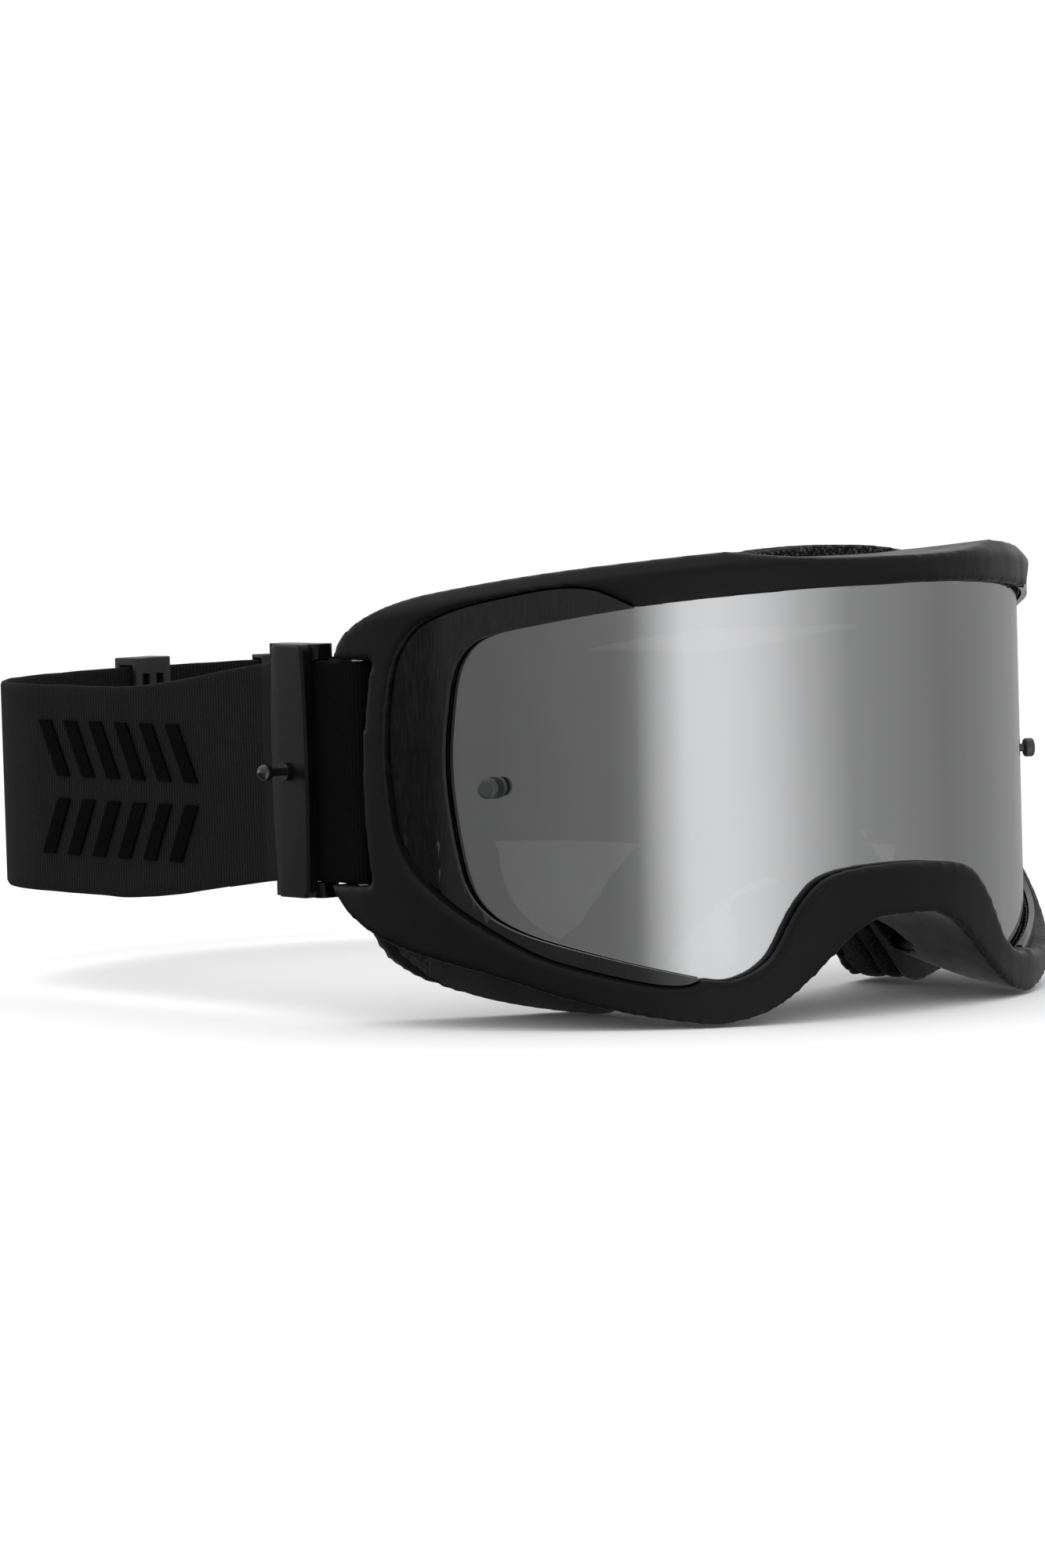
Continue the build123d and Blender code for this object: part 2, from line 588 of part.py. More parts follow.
# ---------------------------------------------------------------- assembly
parts = {
    "outer_frame": make_outer_frame(),
    "lens": make_lens(),
    "lens_gasket": make_gasket(),
    "face_frame": make_face_frame(),
    "foam_base": make_foam(FACE_R, FOAM_BASE_T, 1.0),
    "foam_middle": make_foam(FACE_R - FOAM_BASE_T, FOAM_MID_T, MIDDLE_SPREAD),
    "foam_fleece": make_foam(FACE_R - FOAM_BASE_T - FOAM_MID_T, FLEECE_T, 1.0),
    "main_strap": make_main_strap(),
    "adjuster": slider(ADJUSTER_AT, ADJUSTER_SPAN, ADJUSTER_T, HORN, ADJUSTER_BAR),
    "strap_tail": make_tail(),
    "tail_keeper": slider(-TAIL_END + KEEPER_SPAN / 2, KEEPER_SPAN, 0.9, 0.9, 0),
}
parts.update({name: make_vent_foam(name) for name in vents})
paired = {
    "gloss_panel": make_panel(),
    "lens_post": make_lens_post(),
    "post_washer": make_post_washer(),
    "strap_bar": make_strap_bar(),
    "strap_ring": make_strap_ring(),
    "ring_post": make_ring_post(),
    "elastic_band": make_elastic_band(),
    "strap_end": make_strap_end(),
    "strap_emblem": make_emblem(),
}
for name, shape in paired.items():
    parts[name + "_left"] = shape
    parts[name + "_right"] = mirrored(shape)

boxes = [shape.bounding_box() for shape in parts.values()]
lowest = [min(getattr(item.min, axis) for item in boxes) for axis in "XYZ"]
highest = [max(getattr(item.max, axis) for item in boxes) for axis in "XYZ"]
origin = ((lowest[0] + highest[0]) / 2, (lowest[1] + highest[1]) / 2, lowest[2])
print("object size", [round(high - low, 2) for low, high in zip(lowest, highest)])
print("origin in building coordinates", [round(value, 4) for value in origin])

os.makedirs("parts", exist_ok=True)
for name, shape in parts.items():
    export_step(Pos(-origin[0], -origin[1], -origin[2]) * shape, f"parts/{name}.step")
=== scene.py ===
import math

import bmesh
import bpy
from mathutils import Matrix, Vector, noise


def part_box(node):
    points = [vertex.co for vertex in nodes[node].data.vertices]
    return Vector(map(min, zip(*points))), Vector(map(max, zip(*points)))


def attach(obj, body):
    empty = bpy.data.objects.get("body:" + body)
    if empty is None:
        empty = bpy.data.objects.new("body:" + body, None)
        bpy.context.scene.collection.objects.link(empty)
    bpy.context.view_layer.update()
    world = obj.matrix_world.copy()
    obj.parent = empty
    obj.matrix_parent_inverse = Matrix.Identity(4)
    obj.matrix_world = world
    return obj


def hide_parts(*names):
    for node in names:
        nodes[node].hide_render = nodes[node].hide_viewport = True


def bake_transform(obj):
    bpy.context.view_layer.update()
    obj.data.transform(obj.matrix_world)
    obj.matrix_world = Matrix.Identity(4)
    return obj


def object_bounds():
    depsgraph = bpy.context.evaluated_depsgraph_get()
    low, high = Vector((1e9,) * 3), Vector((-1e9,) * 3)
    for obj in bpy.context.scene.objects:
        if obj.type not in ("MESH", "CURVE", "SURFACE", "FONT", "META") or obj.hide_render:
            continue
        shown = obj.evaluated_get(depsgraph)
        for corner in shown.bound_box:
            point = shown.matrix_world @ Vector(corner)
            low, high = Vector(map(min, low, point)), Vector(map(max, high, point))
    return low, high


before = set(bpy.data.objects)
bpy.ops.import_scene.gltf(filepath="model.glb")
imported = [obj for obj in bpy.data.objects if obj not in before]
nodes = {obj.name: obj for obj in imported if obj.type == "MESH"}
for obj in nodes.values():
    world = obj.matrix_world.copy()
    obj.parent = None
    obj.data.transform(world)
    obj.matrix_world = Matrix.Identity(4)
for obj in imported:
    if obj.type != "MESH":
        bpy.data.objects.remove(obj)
cad_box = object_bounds()

# Sizes are in millimetres in the goggles' own axes: Y = 0 at the front of the lens, Z = 0 at the
# middle level of the rear strap, the lens facing -Y. place() turns them into the frame's metres.
MM = 0.001
STRAP_FRONT_Z = 6.4
LENS_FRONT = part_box("lens")[0].y
RING_LOW, RING_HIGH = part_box("strap_ring_right")
ORIGIN = Vector((0, LENS_FRONT, (RING_LOW.z + RING_HIGH.z) / 2 - STRAP_FRONT_Z * MM))

LENS_R = 79.5            # lens cylinder, its axis at Y = LENS_R
STRAP_W = 45.0
STRAP_T = 1.7
STRAP_X = 79.8           # half width of the strap loop
STRAP_BACK_Z = -0.3
BAR_Y = 70.5             # strap bar in the frame, then the two bars of the strap ring
RING_FRONT_Y = 83.4
RING_REAR_Y = 95.5
BAR_R = 1.8
RING_BAR_R = 1.6
CORNER_R = 50.0          # plan of the strap loop: straight sides, corner arcs, rear arc
BACK_R = 110.0
BACK_C = 135.0
BACK_SPREAD = 30
SEWN_IN = 1.95           # the sewn-back layer inside the strap, and the depths it runs between
SEWN_FRONT_Y = 102.0
SEWN_END_Y = 121.0
SEAM_DEPTHS = (104.0, 106.0, 118.5)
SEAM_HALF_HEIGHT = 21.0
STRAP_JOINS_Y = 103.5    # behind this depth the strap runs on its own line
TAIL_R = 111.9           # folded-back layer, outside the rear arc
TAIL_T = 1.3
TAIL_FROM, TAIL_TO = -7.0, 12.0     # angles from +Y towards +X
BAND_T = 1.2             # elastic band, its ribs' spacing and height
BAND_RIB, BAND_RIB_H = 0.68, 0.14
CLOTH_FRAMES = 12


def place(x, y, z):
    """A point given in millimetres, in the frame's metres."""
    return Vector((x, y, z)) * MM + ORIGIN


# ------------------------------------------------------------------ materials
class Look:
    """A node material built step by step around one Principled shader."""

    def __init__(self, name, **sockets):
        self.material = bpy.data.materials.new(name)
        self.material.use_nodes = True
        self.tree = self.material.node_tree
        self.shader = self.tree.nodes["Principled BSDF"]
        for socket, value in sockets.items():
            self.shader.inputs[socket.replace("_", " ")].default_value = value

    def node(self, kind, values=None, **settings):
        """A node with some settings and input values; a value may be another node's output."""
        made = self.tree.nodes.new(kind)
        for key, value in settings.items():
            setattr(made, key, value)
        for key, value in (values or {}).items():
            if isinstance(value, bpy.types.NodeSocket):
                self.tree.links.new(value, made.inputs[key])
            else:
                made.inputs[key].default_value = value
        return made

    def math(self, operation, first, second=0.0, clamp=False):
        return self.node("ShaderNodeMath", {0: first, 1: second}, operation=operation,
                         use_clamp=clamp).outputs[0]

    def place(self):
        """Positions on the piece, in metres."""
        return self.node("ShaderNodeTexCoord").outputs["Object"]

    def along(self):
        """Distances along and across a piece of webbing, in metres."""
        split = self.node("ShaderNodeSeparateXYZ",
                          {0: self.node("ShaderNodeUVMap", uv_map="webbing").outputs[0]})
        return split.outputs[0], split.outputs[1]

    def noise(self, per_metre, detail=3.0, stretch=None):
        where = self.place()
        if stretch:
            where = self.node("ShaderNodeMapping", {"Vector": where, "Scale": stretch}).outputs[0]
        return self.node("ShaderNodeTexNoise", {"Vector": where, "Scale": per_metre,
                                                "Detail": detail}).outputs["Fac"]

    def cells(self, per_metre):
        return self.node("ShaderNodeTexVoronoi", {"Vector": self.place(),
                                                  "Scale": per_metre}).outputs["Distance"]

    def ramp(self, value, low, high, from_low=0.0, from_high=1.0):
        return self.node("ShaderNodeMapRange", {"Value": value, 1: from_low, 2: from_high,
                                                3: low, 4: high}).outputs[0]

    def blend(self, value, first, second):
        mix = self.node("ShaderNodeMix", data_type="RGBA")
        self.tree.links.new(value, mix.inputs[0])
        mix.inputs[6].default_value = first
        mix.inputs[7].default_value = second
        return mix.outputs[2]

    def colour(self, source):
        self.tree.links.new(source, self.shader.inputs["Base Color"])

    def roughness(self, source):
        self.tree.links.new(source, self.shader.inputs["Roughness"])

    def bump(self, height, depth, strength=1.0):
        """Raises the surface by a depth in metres where the height is 1."""
        made = self.node("ShaderNodeBump", {"Height": height, "Distance": depth,
                                            "Strength": strength})
        self.tree.links.new(made.outputs[0], self.shader.inputs["Normal"])


def grey(level, tint=0.0):
    """A grey, a little cooler with more tint."""
    return (level * (1 - tint), level, level * (1 + tint), 1)


def moulded(name, low, high, roughness, specular, grain, grain_depth, wear=0.0):
    """Moulded plastic or rubber: a fine grain, slightly uneven gloss and paler worn edges."""
    look = Look(name, Specular_IOR_Level=specular)
    patches = look.noise(60, 4)
    colour = look.blend(patches, grey(low, 0.03), grey(high, 0.03))
    if wear:
        point = look.node("ShaderNodeNewGeometry").outputs["Pointiness"]
        edge = look.math("MULTIPLY", look.ramp(point, 0, 1, 0.52, 0.6), wear)
        mix = look.node("ShaderNodeMix", data_type="RGBA")
        look.tree.links.new(edge, mix.inputs[0])
        look.tree.links.new(colour, mix.inputs[6])
        mix.inputs[7].default_value = grey(high * 3.5)
        colour = mix.outputs[2]
    look.colour(colour)
    look.roughness(look.ramp(look.noise(140, 3), roughness - 0.05, roughness + 0.06, 0.3, 0.7))
    look.bump(look.noise(grain, 2), grain_depth)
    return look.material


def webbing(name, low, high, rib, row, depth, sheen):
    """Woven elastic: ribs across the length, with slanted yarns on each; the colour is painted
    darker down in the grooves between the ribs as shade.
    """
    look = Look(name, Specular_IOR_Level=0.06, Roughness=0.85, Sheen_Weight=sheen,
                Sheen_Roughness=0.5)
    along, across = look.along()
    wobble = look.math("MULTIPLY", look.noise(900, 2), 0.5 * rib)
    turns = look.math("MULTIPLY", look.math("ADD", along, wobble), 2 * math.pi / rib)
    ribs = look.math("ABSOLUTE", look.math("SINE", look.math("MULTIPLY", turns, 0.5)))
    slant = look.math("MULTIPLY", along, 1.3)
    yarns = look.math("SINE", look.math("MULTIPLY", look.math("ADD", across, slant),
                                        2 * math.pi / row))
    yarns = look.ramp(yarns, 0.25, 1.0, -1.0, 1.0)
    height = look.math("MULTIPLY", ribs, yarns)
    fuzz = look.ramp(look.noise(2600, 3), 0.55, 1.25, 0.25, 0.75)
    # The colour follows the weave's height: painted shade in the grooves, with random fuzz in the
    # fibres.
    shade = look.math("MULTIPLY", height, fuzz, clamp=True)
    look.colour(look.blend(shade, grey(low, 0.02), grey(high, 0.02)))
    look.bump(height, depth)
    return look.material


def foam(name, low, high, cells, depth):
    """Open-cell foam: paler cell walls, with the pores between them painted dark as shade."""
    look = Look(name, Specular_IOR_Level=0.1, Roughness=0.95)
    pores = look.ramp(look.cells(cells), 0, 1, 0.12, 0.62)
    speckle = look.ramp(look.noise(cells * 0.8, 4), 0, 1, 0.42, 0.6)
    # Darkest in the pores as painted shade, with random speckle on the cell walls.
    pore_shade_and_speckle = look.math("MULTIPLY", look.math("SUBTRACT", 1.0, pores), speckle, clamp=True)
    look.colour(look.blend(pore_shade_and_speckle, grey(low), grey(high)))
    look.bump(pore_shade_and_speckle, depth)
    return look.material


def pile(name, low, high, per_metre, depth, sheen):
    """Short pile: fleece, flock or brushed fabric."""
    look = Look(name, Specular_IOR_Level=0.05, Roughness=1.0, Sheen_Weight=sheen,
                Sheen_Roughness=0.35)
    fibres = look.noise(per_metre, 5)
    clumps = look.noise(per_metre * 0.12, 2)
    mixed = look.math("MULTIPLY", look.ramp(fibres, 0, 1, 0.3, 0.7), look.ramp(
        clumps, 0.5, 1.2, 0.3, 0.7), clamp=True)
    look.colour(look.blend(mixed, grey(low), grey(high)))
    look.bump(fibres, depth)
    return look.material


def mirrored_lens():
    """Silver mirror on the outside of a smoke lens, plain smoke on the inside."""
    look = Look("mirror_lens", Specular_IOR_Level=0.5, Alpha=0.86)
    coords = look.node("ShaderNodeTexCoord")
    axis = place(0, LENS_R, 0)
    spoke = look.node("ShaderNodeVectorMath", {0: coords.outputs["Object"], 1: (
        axis.x, axis.y, 0)}, operation="SUBTRACT").outputs[0]
    facing = look.node("ShaderNodeVectorMath", {0: spoke, 1: coords.outputs["Normal"]},
                       operation="DOT_PRODUCT").outputs["Value"]
    outside = look.math("GREATER_THAN", facing, 0.0)
    look.tree.links.new(outside, look.shader.inputs["Metallic"])
    look.colour(look.blend(outside, grey(0.012), (0.33, 0.332, 0.336, 1)))
    look.roughness(look.ramp(look.noise(70, 2), 0.05, 0.085, 0.3, 0.7))
    look.bump(look.noise(45, 1), 0.00002)
    return look.material


def glossy_black():
    """Gloss moulding: near-black, faint moulding waves and fine handling marks."""
    look = Look("gloss_panel", Specular_IOR_Level=0.3, Coat_Weight=0.2, Coat_Roughness=0.03)
    look.colour(look.blend(look.noise(90, 3), grey(0.003), grey(0.006)))
    scuffs = look.noise(1600, 4, (1, 1, 0.15))
    look.roughness(look.ramp(scuffs, 0.10, 0.20, 0.4, 0.75))
    look.bump(look.noise(150, 2), 0.000012)
    return look.material


# moulded: darkest and palest grey, roughness, specular level, grain per metre, grain depth, wear
LOOKS = {
    "outer_frame": moulded("satin_frame", 0.0014, 0.0022, 0.42, 0.13, 5200, 0.00002, 0.06),
    "lens": mirrored_lens(),
    "lens_gasket": moulded("gasket_rubber", 0.006, 0.01, 0.7, 0.15, 3000, 0.00003),
    "face_frame": moulded("soft_frame", 0.008, 0.012, 0.62, 0.15, 3200, 0.00004),
    "gloss_panel": glossy_black(),
    "lens_post": moulded("post_plastic", 0.02, 0.03, 0.3, 0.4, 4000, 0.00001),
    "post_washer": moulded("washer_plastic", 0.015, 0.02, 0.45, 0.3, 4000, 0.00001),
    "strap_ring": moulded("ring_plastic", 0.0012, 0.002, 0.36, 0.13, 4200, 0.00002, 0.08),
    "ring_post": moulded("ball_post", 0.004, 0.006, 0.16, 0.45, 4000, 0.000004),
    "adjuster": moulded("slider_plastic", 0.010, 0.014, 0.45, 0.25, 4200, 0.00003, 0.4),
    "tail_keeper": moulded("keeper_plastic", 0.010, 0.014, 0.5, 0.2, 4200, 0.00003, 0.3),
}
steel = Look("bar_steel", Metallic=1.0)
steel.colour(steel.blend(steel.noise(300, 3), grey(0.35), grey(0.5)))
steel.roughness(steel.ramp(steel.noise(900, 3, (1, 1, 0.05)), 0.25, 0.42, 0.3, 0.7))
LOOKS["strap_bar"] = steel.material
# webbing: darkest grey (painted shade in the grooves) and palest grey, rib spacing, yarn spacing,
# weave depth, sheen
STRAP_LOOK = webbing("strap_webbing", 0.0008, 0.013, 0.95 * MM, 0.8 * MM, 0.00014, 0.01)
BAND_LOOK = webbing("elastic_webbing", 0.0003, 0.0032, BAND_RIB * MM, 0.95 * MM, 0.00018, 0.0)
THREAD = Look("thread", Specular_IOR_Level=0.2, Roughness=0.7, Sheen_Weight=0.1)
THREAD.colour(THREAD.blend(THREAD.noise(4000, 2), grey(0.012), grey(0.03)))
FLOCK = pile("emblem_flock", 0.0004, 0.0012, 4200, 0.0001, 0.0)
VENT = foam("vent_foam", 0.008, 0.14, 1400, 0.0003)


# ------------------------------------------------------------------ pieces from CAD nodes
def add_modifier(piece, kind, **settings):
    made = piece.modifiers.new(kind.title(), kind)
    for key, value in settings.items():
        setattr(made, key, value)
    return made


def paint(piece, material):
    piece.data.materials.clear()
    piece.data.materials.append(material)


def crisp(piece, width):
    """Rounds the sharp edges of a hard moulding by a small bevel."""
    add_modifier(piece, "WELD", merge_threshold=1e-6)
    add_modifier(piece, "BEVEL", width=width * MM, segments=2, limit_method="ANGLE",
                 angle_limit=math.radians(32), harden_normals=False)
    add_modifier(piece, "WEIGHTED_NORMAL", keep_sharp=False, weight=60)


def rounded(piece, voxel, repeats):
    """Melts the edges of a moulding into soft radii."""
    add_modifier(piece, "REMESH", mode="VOXEL", voxel_size=voxel * MM, use_smooth_shade=True)
    add_modifier(piece, "SMOOTH", factor=0.5, iterations=repeats)


def baked(piece):
    """The piece's mesh with its modifiers applied."""
    graph = bpy.context.evaluated_depsgraph_get()
    return bpy.data.meshes.new_from_object(piece.evaluated_get(graph))


def copy_of(node, name):
    """A piece of its own with the mesh of a CAD node."""
    piece = bpy.data.objects.new(name, nodes[node].data.copy())
    bpy.context.scene.collection.objects.link(piece)
    return piece


def finish_piece(piece, body, material, replaced=()):
    paint(piece, material)
    for polygon in piece.data.polygons:
        polygon.use_smooth = True
    if body:
        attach(piece, body)
    if replaced:
        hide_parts(*replaced)
    return piece


def padded_piece(node, name, voxel, shrink, cap, pressure, material):
    """A foam layer: the CAD ring drawn in by shrink, then swollen by a cloth simulation.

    No point moves further than cap. Lengths are in millimetres.
    """
    piece = copy_of(node, name)
    add_modifier(piece, "REMESH", mode="VOXEL", voxel_size=voxel * MM, use_smooth_shade=True)
    add_modifier(piece, "SMOOTH", factor=0.5, iterations=3)
    piece.data = baked(piece)
    piece.modifiers.clear()
    start = [vertex.co - vertex.normal * shrink * MM for vertex in piece.data.vertices]
    for vertex, spot in zip(piece.data.vertices, start):
        vertex.co = spot
    cloth = piece.modifiers.new("Cloth", "CLOTH")
    cloth.settings.use_pressure = True
    cloth.settings.uniform_pressure_force = pressure
    cloth.settings.effector_weights.gravity = 0
    cloth.settings.quality = 4
    scene = bpy.context.scene
    for step in range(1, CLOTH_FRAMES + 1):
        scene.frame_set(step)
    swollen = baked(piece)
    scene.frame_set(1)
    for vertex, spot, moved in zip(piece.data.vertices, start, swollen.vertices):
        shift = moved.co - spot
        if shift.length > cap * MM:
            shift *= cap * MM / shift.length
        vertex.co = spot + shift
    piece.modifiers.clear()
    add_modifier(piece, "SUBSURF", levels=1, render_levels=1)
    piece.data = baked(piece)
    piece.modifiers.clear()
    finish_piece(piece, "goggles", material, (node,))
    return piece


# ------------------------------------------------------------------ webbing
def strap_level(depth):
    """Height of the middle of the strap: higher at the frame, level at the back."""
    share = min(max((depth - 86.0) / 74.0, 0.0), 1.0)
    return STRAP_FRONT_Z + (STRAP_BACK_Z - STRAP_FRONT_Z) * share * share * (3 - 2 * share)


def arc(centre_x, centre_y, radius, start, end, step):
    """Points in plan from one angle to another, counted from +Y towards +X."""
    count = max(2, round(abs(math.radians(end - start)) * radius / step))
    turns = [math.radians(start + (end - start) * index / count) for index in range(count + 1)]
    return [(centre_x + radius * math.sin(turn), centre_y + radius * math.cos(turn))
            for turn in turns]


def run(start, end, step):
    """Points in plan along a straight line, without its last point."""
    count = max(1, round(math.dist(start, end) / step))
    return [(start[0] + (end[0] - start[0]) * index / count,
             start[1] + (end[1] - start[1]) * index / count) for index in range(count)]


def ribbon(name, plan, level, width, thickness, closed=False, ribs=None):
    """A band of webbing on edge along a plan line, with rounded selvedges."""
    count = len(plan)
    half_t = thickness / 2
    flat = width / 2 - half_t
    rows = 22
    section = [(half_t, -flat + 2 * flat * index / rows) for index in range(rows + 1)]
    section += [(half_t * 0.6, flat + half_t * 0.8), (0.0, flat + half_t),
                (-half_t * 0.6, flat + half_t * 0.8)]
    section += [(-half_t, flat - 2 * flat * index / rows) for index in range(rows + 1)]
    section += [(-half_t * 0.6, -flat - half_t * 0.8), (0.0, -flat - half_t),
                (half_t * 0.6, -flat - half_t * 0.8)]
    mesh = bmesh.new()
    uv = mesh.loops.layers.uv.new("webbing")
    rings = []
    distance = 0.0
    distances = []
    for index, (x, y) in enumerate(plan):
        before = plan[index - 1] if closed or index else plan[index]
        after = plan[(index + 1) % count] if closed or index < count - 1 else plan[index]
        run_x, run_y = after[0] - before[0], after[1] - before[1]
        length = math.hypot(run_x, run_y)
        side = (run_y / length, -run_x / length)
        if index:
            distance += math.dist(plan[index - 1], plan[index])
        distances.append(distance)
        bulge = 0.0
        if ribs:
            bulge = ribs[1] * abs(math.sin(math.pi * distance / ribs[0]))
        ring = []
        for across, up in section:
            edge = 0.12 * noise.noise(Vector((x * 0.11, y * 0.11, 3.0 if up > 0 else 9.0)))
            ripple = 1 + bulge / half_t if abs(up) <= flat else 1
            ring.append(mesh.verts.new(place(x + side[0] * across * ripple,
                                             y + side[1] * across * ripple,
                                             level(y) + up + edge * abs(up) / flat)))
        rings.append(ring)
    spans = count if closed else count - 1
    total = len(section)
    for index in range(spans):
        near, far = rings[index], rings[(index + 1) % count]
        far_at = distances[index + 1] if index + 1 < count else distance + math.dist(
            plan[-1], plan[0])
        for corner in range(total):
            beyond = (corner + 1) % total
            face = mesh.faces.new((near[corner], near[beyond], far[beyond], far[corner]))
            spots = ((distances[index], section[corner][1]), (distances[index], section[beyond][1]),
                     (far_at, section[beyond][1]), (far_at, section[corner][1]))
            for loop, (u, v) in zip(face.loops, spots):
                loop[uv].uv = (u * MM, v * MM)
    if not closed:
        mesh.faces.new(rings[0][::-1])
        mesh.faces.new(rings[-1])
    bmesh.ops.recalc_face_normals(mesh, faces=mesh.faces)
    data = bpy.data.meshes.new(name)
    mesh.to_mesh(data)
    mesh.free()
    piece = bpy.data.objects.new(name, data)
    bpy.context.scene.collection.objects.link(piece)
    return piece


def strap_plan():
    """Plan of the whole strap, from the sewn-back layer on one side to that on the other."""
    corner_x = STRAP_X - CORNER_R
    corner_y = BACK_C + (BACK_R - CORNER_R) * math.cos(math.radians(BACK_SPREAD))
    wrap = RING_BAR_R + 0.75
    inner = STRAP_X - SEWN_IN
    half = run((inner, SEWN_END_Y), (inner, SEWN_FRONT_Y), 1.5)
    half += run((inner, SEWN_FRONT_Y), (STRAP_X - wrap, RING_REAR_Y + 1.5), 1.0)
    half += arc(STRAP_X, RING_REAR_Y, wrap, -90, -270, 0.8)
    half += run((STRAP_X + 1.8, RING_REAR_Y + 2.5), (STRAP_X, STRAP_JOINS_Y), 1.0)
    half += run((STRAP_X, STRAP_JOINS_Y), (STRAP_X, corner_y), 1.5)
    half += arc(corner_x, corner_y, CORNER_R, 90, BACK_SPREAD, 1.5)[:-1]
    half += arc(0, BACK_C, BACK_R, BACK_SPREAD, 0, 1.5)
    return half + [(-x, y) for x, y in half[-2::-1]]


def belt_plan(side):
    """Closed plan of the elastic band round the strap bar and the ring's front bar."""
    first, second = BAR_R + BAND_T / 2, RING_BAR_R + BAND_T / 2
    x = STRAP_X * side
    loop = run((x + first, BAR_Y), (x + second, RING_FRONT_Y), 0.17)
    loop += arc(x, RING_FRONT_Y, second, 90, -90, 0.3)[:-1]
    loop += run((x - second, RING_FRONT_Y), (x - first, BAR_Y), 0.17)
    loop += arc(x, BAR_Y, first, -90, -270, 0.3)[:-1]
    return loop


def stitches(name, lines, length, gap, radius):
    """Rows of thread on webbing; each line is a start, an end and the way out of the fabric."""
    mesh = bmesh.new()
    for start, end, out in lines:
        way = Vector(end) - Vector(start)
        total = way.length
        way.normalize()
        count = int(total / (length + gap))
        outwards = Vector(out)
        side = way.cross(outwards)
        for index in range(count):
            near = Vector(start) + way * index * (length + gap)
            rings = []
            for share, lift, size in ((0, -0.25, 0.5), (0.15, 0.05, 0.95), (0.5, 0.12, 1.0),
                                      (0.85, 0.05, 0.95), (1, -0.25, 0.5)):
                centre = near + way * length * share + outwards * lift
                ring = []
                for step in range(6):
                    turn = math.tau * step / 6
                    offset = (side * math.cos(turn) + outwards * math.sin(turn)) * radius * size
                    ring.append(mesh.verts.new(place(*(centre + offset))))
                rings.append(ring)
            for before, after in zip(rings, rings[1:]):
                for step in range(6):
                    beyond = (step + 1) % 6
                    mesh.faces.new((before[step], before[beyond], after[beyond], after[step]))
            mesh.faces.new(rings[0][::-1])
            mesh.faces.new(rings[-1])
    bmesh.ops.recalc_face_normals(mesh, faces=mesh.faces)
    data = bpy.data.meshes.new(name)
    mesh.to_mesh(data)
    mesh.free()
    piece = bpy.data.objects.new(name, data)
    bpy.context.scene.collection.objects.link(piece)
    return piece


# ------------------------------------------------------------------ hard parts
rounded(nodes["outer_frame"], 0.55, 14)
rounded(nodes["face_frame"], 0.6, 8)
for name, node in nodes.items():
    base = name.removesuffix("_left").removesuffix("_right")
    if base in LOOKS:
        paint(node, LOOKS[base])
    if base in ("strap_ring", "adjuster", "tail_keeper"):
        crisp(node, 0.35)
    if base == "gloss_panel":
        crisp(node, 0.3)

# ------------------------------------------------------------------ face foam and vent foam
padded_piece("foam_base", "foam_base_pad", 1.6, 0.25, 0.6, 3.0,
             foam("base_foam", 0.006, 0.03, 1500, 0.0002))
padded_piece("foam_middle", "foam_middle_pad", 1.6, 0.2, 1.2, 4.0,
             foam("middle_foam", 0.008, 0.04, 1300, 0.0002))
padded_piece("foam_fleece", "foam_fleece_pad", 1.2, 0.2, 0.8, 3.0,
             pile("fleece", 0.004, 0.014, 2600, 0.00025, 0.25))
for vent in ("top_vent_foam", "side_vent_foams", "cheek_vent_foams"):
    piece = copy_of(vent, vent + "_cells")
    add_modifier(piece, "REMESH", mode="VOXEL", voxel_size=0.55 * MM, use_smooth_shade=True)
    add_modifier(piece, "SMOOTH", factor=0.5, iterations=2)
    piece.data = baked(piece)
    piece.modifiers.clear()
    for vertex in piece.data.vertices:
        cell = noise.voronoi(vertex.co / (1.5 * MM))[0]
        vertex.co -= vertex.normal * MM * 0.7 * max(0.0, 0.5 - cell[0])
    finish_piece(piece, "goggles", VENT, (vent,))

# ------------------------------------------------------------------ strap, bands and tail
strap = ribbon("strap_web", strap_plan(), strap_level, STRAP_W, STRAP_T)
finish_piece(strap, None, STRAP_LOOK,
             ("main_strap", "strap_end_left", "strap_end_right"))
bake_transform(strap)
for side, label in ((1, "left"), (-1, "right")):
    band = ribbon(f"elastic_web_{label}", belt_plan(side), lambda depth: STRAP_FRONT_Z,
                  STRAP_W - 0.1, BAND_T, True, (BAND_RIB, BAND_RIB_H))
    finish_piece(band, "goggles", BAND_LOOK, (f"elastic_band_{label}",))
    inner = side * (STRAP_X - SEWN_IN - STRAP_T / 2)
    rows = [((inner, depth, strap_level(depth) - SEAM_HALF_HEIGHT),
             (inner, depth, strap_level(depth) + SEAM_HALF_HEIGHT), (-side, 0, 0))
            for depth in SEAM_DEPTHS]
    thread = stitches(f"strap_stitches_{label}", rows, 1.9, 0.55, 0.2)
    finish_piece(thread, None, THREAD.material)
    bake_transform(thread)

tail = ribbon("tail_web", arc(0, BACK_C, TAIL_R, TAIL_FROM, TAIL_TO, 1.2),
              lambda depth: STRAP_BACK_Z, STRAP_W - 0.4, TAIL_T)
finish_piece(tail, "slider", STRAP_LOOK, ("strap_tail",))

for label in ("left", "right"):
    node = nodes[f"strap_emblem_{label}"]
    paint(node, FLOCK)
    crisp(node, 0.18)

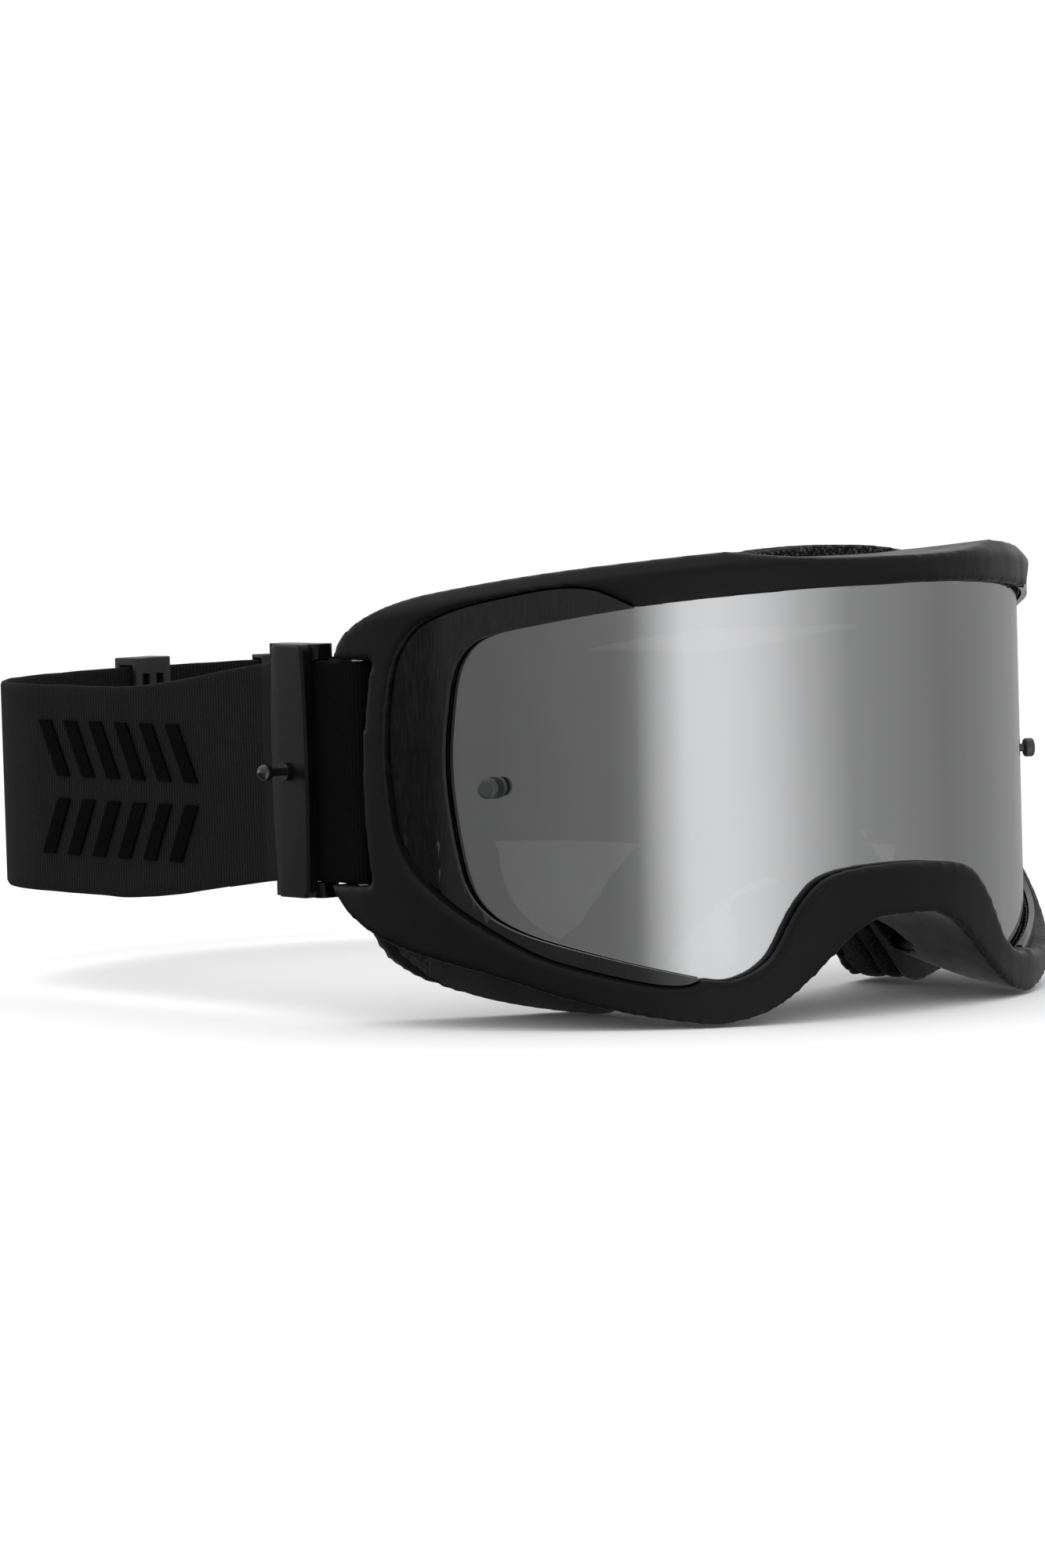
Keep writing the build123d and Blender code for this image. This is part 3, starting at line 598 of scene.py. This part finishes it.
# ------------------------------------------------------------------ floor, light and camera
FLOOR_RADIUS = 60        # metres, so its edge meets the horizon
FLOOR_GAP = 0.0003
floor_mesh = bmesh.new()
bmesh.ops.create_circle(floor_mesh, cap_ends=True, segments=96, radius=FLOOR_RADIUS)
floor_data = bpy.data.meshes.new("floor")
floor_mesh.to_mesh(floor_data)
floor_mesh.free()
floor = bpy.data.objects.new("floor", floor_data)
bpy.context.scene.collection.objects.link(floor)
floor.location = (0, 0, cad_box[0][2] - FLOOR_GAP)
floor_look = Look("floor", Roughness=0.9, Specular_IOR_Level=0.1)
floor_look.colour(floor_look.blend(floor_look.noise(3, 2), grey(0.94), grey(0.96)))
paint(floor, floor_look.material)
floor.visible_glossy = False    # the lens mirrors the studio and not the floor


def softbox(name, spot, target, width, height, radiance):
    """An area light with a given radiance, aimed at a point."""
    light = bpy.data.lights.new(name, "AREA")
    light.shape = "RECTANGLE"
    light.size = width
    light.size_y = height
    light.energy = radiance * math.pi * width * height
    lamp = bpy.data.objects.new(name, light)
    bpy.context.scene.collection.objects.link(lamp)
    lamp.location = spot
    lamp.rotation_euler = (Vector(target) - Vector(spot)).to_track_quat("-Z", "Z").to_euler()
    lamp.visible_camera = False
    return lamp


middle = place(0, 60, 5)
softbox("top_box", middle + Vector((-0.1, 0.15, 0.9)), middle, 1.3, 1.0, 0.6)
softbox("rear_box", middle + Vector((-0.75, 0.62, 0.25)), middle, 0.35, 0.7, 1.2)

# Below the horizon only mirrors see the studio. This is how bright it is there in each direction,
# as (degrees round from the front of the goggles towards +X, brightness).
REFLECTED = [(-180, 0.25), (-112, 0.03), (-103, 0.03), (-97, 0.32), (-83, 0.32), (-48, 0.42),
             (-41, 0.55), (-34.6, 1.25), (-25.8, 2.15), (-16.9, 2.22), (-7.8, 2.08), (1.4, 1.77),
             (11, 1.32), (27, 0.78), (64, 0.54), (99, 0.62), (180, 0.25)]
STUDIO = 1.08            # brightness above the horizon
SEAM_LOW, SEAM_HIGH = -0.012, -0.003    # the two halves meet just below the horizon
world = bpy.data.worlds.new("studio")
bpy.context.scene.world = world
world.use_nodes = True
tree = world.node_tree
background = tree.nodes["Background"]


def world_node(kind, **settings):
    made = tree.nodes.new(kind)
    for key, value in settings.items():
        setattr(made, key, value)
    return made


coords = world_node("ShaderNodeTexCoord")
split = world_node("ShaderNodeSeparateXYZ")
tree.links.new(coords.outputs["Generated"], split.inputs[0])
ahead = world_node("ShaderNodeMath", operation="MULTIPLY")
ahead.inputs[1].default_value = -1.0
turn = world_node("ShaderNodeMath", operation="ARCTAN2")
tree.links.new(split.outputs[1], ahead.inputs[0])
tree.links.new(split.outputs[0], turn.inputs[0])
tree.links.new(ahead.outputs[0], turn.inputs[1])
share = world_node("ShaderNodeMapRange")
share.inputs[1].default_value = -math.pi
share.inputs[2].default_value = math.pi
tree.links.new(turn.outputs[0], share.inputs[0])
around = world_node("ShaderNodeValToRGB")
tree.links.new(share.outputs[0], around.inputs[0])
stops = around.color_ramp.elements
for index, (degrees, level) in enumerate(REFLECTED):
    if index == 0:
        stop = stops[0]
    elif index == len(REFLECTED) - 1:
        stop = stops[-1]
    else:
        stop = stops.new(degrees / 360 + 0.5)
    stop.color = (level, level, level, 1)
upper = world_node("ShaderNodeMapRange")
upper.inputs[1].default_value = SEAM_LOW
upper.inputs[2].default_value = SEAM_HIGH
tree.links.new(split.outputs[2], upper.inputs[0])
both = world_node("ShaderNodeMix", data_type="RGBA")
tree.links.new(upper.outputs[0], both.inputs[0])
tree.links.new(around.outputs[0], both.inputs[6])
both.inputs[7].default_value = grey(STUDIO)
tree.links.new(both.outputs[2], background.inputs["Color"])

CAMERA_SPOT = (-776.55, -873.19, 74.39)    # millimetres in the goggles' axes
FOCAL_LENGTH = 133.92
SENSOR = 36
YAW, DOWN, ROLL = math.radians(-38), math.radians(3.48), math.radians(-1.67)
forward = Vector((-math.sin(YAW) * math.cos(DOWN), math.cos(YAW) * math.cos(DOWN), -math.sin(DOWN)))
right = forward.cross(Vector((0, 0, 1))).normalized()
upward = right.cross(forward)
rolled_right = right * math.cos(ROLL) + upward * math.sin(ROLL)
rolled_up = upward * math.cos(ROLL) - right * math.sin(ROLL)
camera_data = bpy.data.cameras.new("camera")
camera_data.lens = FOCAL_LENGTH
camera_data.sensor_width = SENSOR
camera = bpy.data.objects.new("camera", camera_data)
bpy.context.scene.collection.objects.link(camera)
spin = Matrix((rolled_right, rolled_up, -forward)).transposed()
camera.matrix_world = Matrix.Translation(place(*CAMERA_SPOT)) @ spin.to_4x4()
bpy.context.scene.camera = camera
bpy.context.scene.view_settings.view_transform = "Standard"
